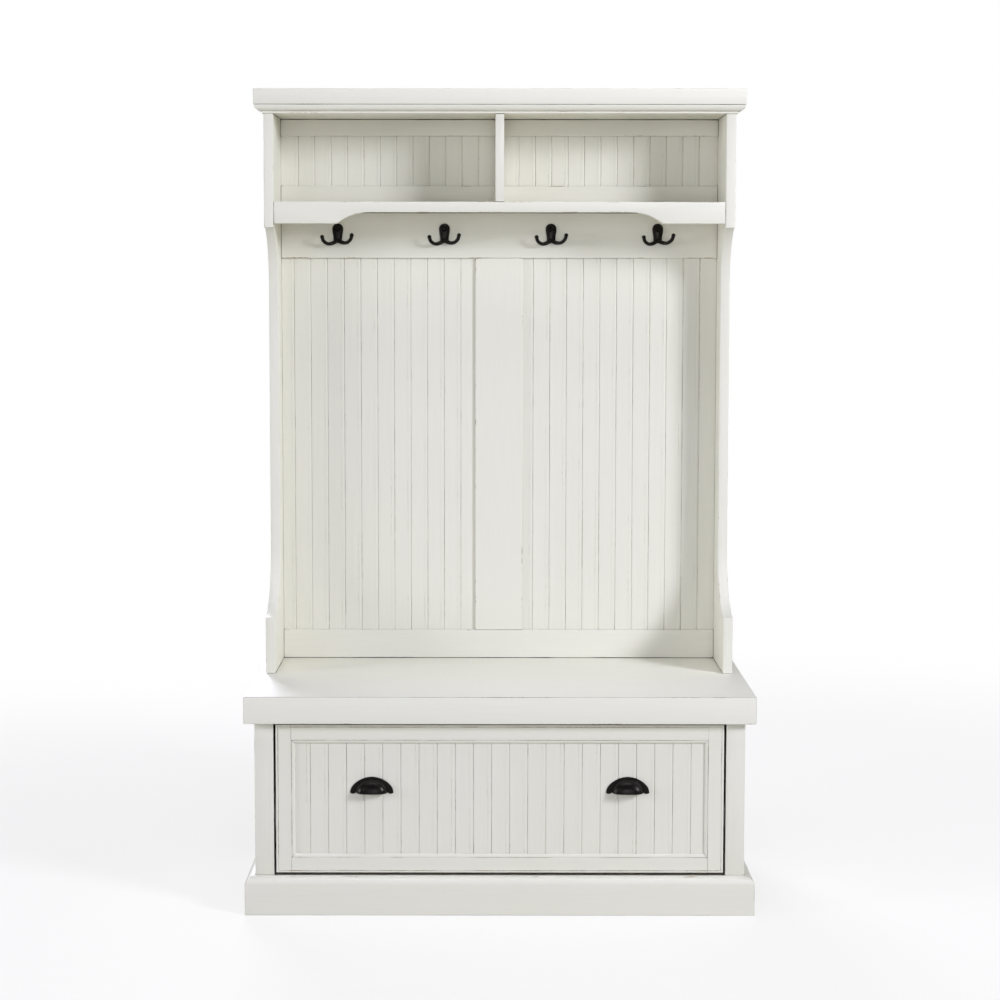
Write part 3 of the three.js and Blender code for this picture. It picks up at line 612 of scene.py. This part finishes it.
def hook_prong(bm, side):
    """A round bar out, forward and up, which ends in a ball."""
    route = [(side * x, y, z + HOOK_LEAN * side * x) for x, y, z in HOOK_PRONG]
    rod = curve_through(route, PRONG_STEPS)
    ball = rod[-1]
    onward = (rod[-1] - rod[-2]).normalized()
    path = rod + [ball + onward * PRONG_TIP * share for share in BALL_END]
    rings = []
    for k, point in enumerate(path):
        ahead = path[min(k + 1, len(path) - 1)] - path[max(k - 1, 0)]
        u = ahead.cross(Vector((0, 0, 1))).normalized()
        v = ahead.cross(u).normalized()
        root = max(0.0, 1 - k / ROOT_STEPS)
        radius = PRONG_ROD + (PRONG_ROOT - PRONG_ROD) * root
        swell = math.sqrt(max(PRONG_TIP ** 2 - (point - ball).length_squared, BALL_TOP))
        radius = swell if k >= len(rod) else max(radius, swell)
        rings.append([point + radius * (math.cos(a) * u + math.sin(a) * v)
                      for a in turn_angles(PRONG_SIDES)])
    loft(bm, rings)


def sink_recess(mesh):
    """Presses the round recess for the screw into the plate's front."""
    for vertex in mesh.vertices:
        reach = math.hypot(vertex.co.x, vertex.co.z)
        if vertex.co.y < -RECESS_LEVEL and reach < RECESS_RIM:
            slope = max(0.0, (reach - RECESS_FLOOR) / (RECESS_RIM - RECESS_FLOOR))
            vertex.co.y = max(vertex.co.y, -RECESS_LEVEL - RECESS_DEPTH * slope)


def hook_mesh():
    bm = bmesh.new()
    hook_plate(bm)
    for side in (-1, 1):
        hook_prong(bm, side)
    web = Matrix.Translation(WEB_AT) @ Matrix.Diagonal((*WEB_HALF, 1))
    bmesh.ops.create_icosphere(bm, subdivisions=3, radius=1, matrix=web)
    mesh = solid(bm, ("REMESH", {"mode": "VOXEL", "voxel_size": 0.55}),
                 ("SMOOTH", {"factor": 0.5, "iterations": 5}))
    sink_recess(mesh)
    mesh.shade_smooth()
    return mesh


def hook_screw_mesh():
    bm = bmesh.new()
    screw_head(bm, *HOOK_SCREW)
    return solid(bm)


def coat_hooks():
    hook = hook_mesh()
    screw = hook_screw_mesh()
    for number in range(1, 5):
        node = f"coat_hook_{number}"
        low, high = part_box(node)
        at = ((low.x + high.x) / 2, high.y, high.z - HOOK_BULB * MM)
        put(f"fine_coat_hook_{number}", hook, dark_bronze, "cabinet", at, node)
        put(f"hook_screw_{number}", screw, dark_bronze, "cabinet", at)


coat_hooks()

# ---------------------------------------------------------------- cup pulls

# In millimetres about the middle of the mouth, on the face of the drawer panel.
PULL_DOME = (32.2, 21.8, 27.8)       # half width, depth and rise of the dome's outside
PULL_SQUARE = 0.30                   # how much boxier than an ellipse its mouth is
PULL_RIM = (45.4, 32.7, 1.8)         # half width and rise of the flange's outline, and how full it is
PULL_SHEET = 1.7
EAR = (39.4, 7.0, 4.0)               # middle, half width and drop of the rounded end of the flange
EAR_ROUND = 0.7
EAR_REACH = 9.0                      # how far up the flange its end still drops
# Rows of the mesh: up the dome from the mouth, and out over the flange.
DOME_ROWS = (1.0, 0.975, 0.9, 0.8, 0.68, 0.55, 0.42, 0.3, 0.19, 0.1, 0.04)
FLANGE_ROWS = (0.06, 0.3, 0.65, 0.94, 1.0)


def pull_point(angle, tilt):
    """On the dome: angle runs round from the right end, tilt from the panel (0) to the mouth (1)."""
    half_width, depth, rise = PULL_DOME
    lean = tilt * math.pi / 2
    square = 1 - PULL_SQUARE * math.sin(lean)
    cosine = math.cos(angle)
    up = max(math.sin(angle), 0.0) ** square
    across = math.copysign(abs(cosine) ** square, cosine)
    return Vector((half_width * across, -PULL_SHEET - depth * up * math.sin(lean),
                   rise * up * math.cos(lean)))


def pull_flange_point(angle, share):
    """On the flange, share of the way from the foot of the dome to the outline."""
    foot = pull_point(angle, 0)
    half_width, rise, full = PULL_RIM
    way = Vector((foot.x, 0, foot.z)).normalized()
    rim = way / (abs(way.x / half_width) ** full + abs(way.z / rise) ** full) ** (1 / full)
    point = foot.lerp(Vector((rim.x, foot.y, rim.z)), share)
    middle, half, drop = EAR
    off = (abs(point.x) - middle) / half
    if abs(off) < 1:
        near_end = max(0.0, 1 - max(point.z, 0) / EAR_REACH)
        point.z -= drop * math.cos(off * math.pi / 2) ** EAR_ROUND * near_end
    return point


def pull_mesh():
    """The cup and its flange, as one pressed sheet that is open below."""
    bm = bmesh.new()
    columns = between(0, math.pi, 41)
    rows = [[bm.verts.new(pull_point(angle, tilt)) for angle in columns] for tilt in DOME_ROWS]
    rows += [[bm.verts.new(pull_flange_point(angle, share)) for angle in columns]
             for share in FLANGE_ROWS]
    for a, b in zip(rows, rows[1:]):
        for k in range(len(columns) - 1):
            bm.faces.new((a[k], a[k + 1], b[k + 1], b[k]))
    bmesh.ops.remove_doubles(bm, verts=bm.verts, dist=0.02)
    bm.normal_update()
    if sum(face.normal.y for face in bm.faces) > 0:
        bmesh.ops.reverse_faces(bm, faces=bm.faces)
    return modified(bm, ("SOLIDIFY", {"thickness": PULL_SHEET, "offset": -1}),
                    ("SUBSURF", {"levels": 2, "render_levels": 2}))


def cup_pulls():
    pull = pull_mesh()
    for side in SIDES:
        node = f"cup_pull_{side}"
        low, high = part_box(node)
        at = ((low.x + high.x) / 2, high.y, high.z - PULL_RIM[1] * MM)
        put(f"fine_cup_pull_{side}", pull, dark_bronze, "drawer", at, node)


cup_pulls()

# ---------------------------------------------------------------- screws in their places

def grid(xs, y, zs):
    return [(x, y, z) for x in xs for z in zs]


def plate_screws():
    for side in SIDES:
        low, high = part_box(f"wall_fixing_plate_{side}")
        inset = Vector((6 * MM, 0, 5 * MM))
        first = low + inset
        last = high - inset
        places = grid((first.x, last.x), high.y, (first.z, last.z))
        screws(f"wall_plate_screws_{side}", places, "+Y", "cabinet", 2.6, 1.3)


def pull_screws():
    """The screws that hold the pulls come through from inside the drawer."""
    reach = 32 * MM
    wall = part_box("drawer_sub_front")[1].y
    for side in SIDES:
        low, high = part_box(f"cup_pull_{side}")
        middle = (low + high) / 2
        places = grid((middle.x - reach, middle.x + reach), wall, (middle.z,))
        screws(f"cup_pull_screws_{side}", places, "+Y", "drawer", 4.4, 2.4)


def front_screws():
    low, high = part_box("drawer_sub_front")
    columns = between(low.x + 60 * MM, high.x - 60 * MM, 4)
    places = grid(columns, high.y, (low.z + 30 * MM, high.z - 26 * MM))
    screws("drawer_front_screws", places, "+Y", "drawer", 4.0, 2.2)


def case_back_screws():
    low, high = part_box("case_back")
    inset = Vector((9 * MM, 0, 9 * MM))
    first = low + inset
    last = high - inset
    places = grid(between(first.x, last.x, 10), high.y, (first.z, last.z))
    places += grid((first.x, last.x), high.y, between(first.z, last.z, 5)[1:-1])
    screws("case_back_screws", places, "+Y", "cabinet", 3.2, 0.8)


plate_screws()
pull_screws()
front_screws()
case_back_screws()

# ---------------------------------------------------------------- drawer slides

SLIDE_GAUGE = 1.2 * MM
SLIDE_SCREW_INSET = 35 * MM
BALL_RADIUS = 1.45
BALL_FIRST = 16 * MM                 # behind the front end of the middle member
BALL_PITCH = 9 * MM
BALL_COUNT = 10
RACE_SHIFT = 1.0 * MM                # the balls' row from the middle of the inner member


def balls(name, body, x, heights, run):
    """Rows of bearing balls along Y, as one piece."""
    bm = bmesh.new()
    for y in run:
        for z in heights:
            place = Matrix.Translation(Vector((x, y, z)) / MM)
            bmesh.ops.create_uvsphere(bm, u_segments=12, v_segments=8, radius=BALL_RADIUS, matrix=place)
    put(name, solid(bm), zinc_channel, body)


def slide_fittings():
    for side, outward in zip(SIDES, (-1, 1)):
        inner_low, inner_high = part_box(f"slide_inner_{side}")
        middle_low, middle_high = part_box(f"slide_middle_{side}")
        centre = (inner_low + inner_high) / 2
        facing = "-X" if outward < 0 else "+X"
        web = (inner_high.x if outward < 0 else inner_low.x) + outward * SLIDE_GAUGE
        columns = between(inner_low.y + SLIDE_SCREW_INSET, inner_high.y - SLIDE_SCREW_INSET, 3)
        places = [(web, y, centre.z) for y in columns]
        screws(f"slide_screws_{side}", places, facing, "drawer", 3.4, 1.5)

        race = (inner_high.z + middle_high.z - SLIDE_GAUGE) / 2 - centre.z
        track = centre.x + outward * RACE_SHIFT
        run = [middle_low.y + BALL_FIRST + BALL_PITCH * k for k in range(BALL_COUNT)]
        heights = (centre.z - race, centre.z + race)
        balls(f"slide_balls_{side}", f"{side}_slide_middle", track, heights, run)


slide_fittings()

# ---------------------------------------------------------------- floor, light and camera

FLOOR_REACH = 30.0
FLOOR = (0.93, 0.91, 0.83)
FADE = (1.4, 3.2)                    # from the object, where the floor runs out into the white cove
COVE_LEAST = 0.66                    # how much of the floor is cove right under the object
COVE_LIGHT = 0.46                    # what the cove gives the object, where the camera sees white


def studio_floor():
    """A pale floor that runs out into a white cove."""
    corners = [(x * FLOOR_REACH, y * FLOOR_REACH, 0) for x, y in ((-1, -1), (1, -1), (1, 1), (-1, 1))]
    mesh = bpy.data.meshes.new("floor")
    mesh.from_pydata(corners, [], [(0, 1, 2, 3)])
    floor = bpy.data.objects.new("floor", mesh)
    bpy.context.scene.collection.objects.link(floor)
    s = Surface("studio_floor", roughness=0.9, specular=0.1)
    s.shader.inputs["Base Color"].default_value = (*FLOOR, 1)
    away = s.add("ShaderNodeVectorMath", {0: s.place}, operation="LENGTH").outputs["Value"]
    seen = s.add("ShaderNodeLightPath").outputs["Is Camera Ray"]
    cove = s.add("ShaderNodeEmission", {"Strength": s.span(seen, 0, 1, COVE_LIGHT, 1.0)})
    fading = s.add("ShaderNodeMixShader", {0: s.span(away, *FADE, COVE_LEAST, 1.0)})
    s.tree.links.new(s.shader.outputs[0], fading.inputs[1])
    s.tree.links.new(cove.outputs[0], fading.inputs[2])
    s.tree.links.new(fading.outputs[0], s.tree.nodes["Material Output"].inputs["Surface"])
    finish(floor, s.material)


def studio_air():
    """White behind everything, which lights nothing."""
    world = bpy.data.worlds.new("studio")
    bpy.context.scene.world = world
    world.use_nodes = True
    air = world.node_tree
    seen = air.nodes.new("ShaderNodeLightPath")
    white = air.nodes.new("ShaderNodeBackground")
    white.inputs["Color"].default_value = (1, 1, 1, 1)
    dark = air.nodes["Background"]
    dark.inputs["Color"].default_value = (0, 0, 0, 1)
    either = air.nodes.new("ShaderNodeMixShader")
    air.links.new(seen.outputs["Is Camera Ray"], either.inputs[0])
    air.links.new(dark.outputs[0], either.inputs[1])
    air.links.new(white.outputs[0], either.inputs[2])
    air.links.new(either.outputs[0], air.nodes["World Output"].inputs["Surface"])


AIM = Vector((0, 0, 0.9))


def softbox(name, place, size, power):
    data = bpy.data.lights.new(name, "AREA")
    data.size = size
    data.energy = power
    data.color = DAYLIGHT
    lamp = bpy.data.objects.new(name, data)
    lamp.location = place
    lamp.rotation_euler = (AIM - Vector(place)).to_track_quat("-Z", "Y").to_euler()
    bpy.context.scene.collection.objects.link(lamp)


studio_floor()
studio_air()
softbox("key", (4.3, -3.3, 3.0), 1.4, 224)
softbox("left", (-3.0, -4.8, 3.0), 2.0, 29)
softbox("side_left", (-7.0, -2.4, 1.8), 2.2, 180)
softbox("front", (0.3, -6.3, 1.6), 2.1, 50)
softbox("top", (0.0, -0.9, 6.0), 3.0, 114)
softbox("back", (-1.6, 5.4, 2.6), 2.6, 215)

camera_data = bpy.data.cameras.new("camera")
camera_data.sensor_width = 36
camera_data.lens = 73.5
camera_data.shift_x = 0.014
camera_data.shift_y = -0.0568
camera = bpy.data.objects.new("camera", camera_data)
camera.location = (-0.0296, -4.3907, 1.3128)
camera.rotation_euler = (math.radians(90 - 4.5), math.radians(-0.05), 0)
bpy.context.scene.collection.objects.link(camera)
bpy.context.scene.camera = camera
bpy.context.scene.view_settings.view_transform = "Standard"
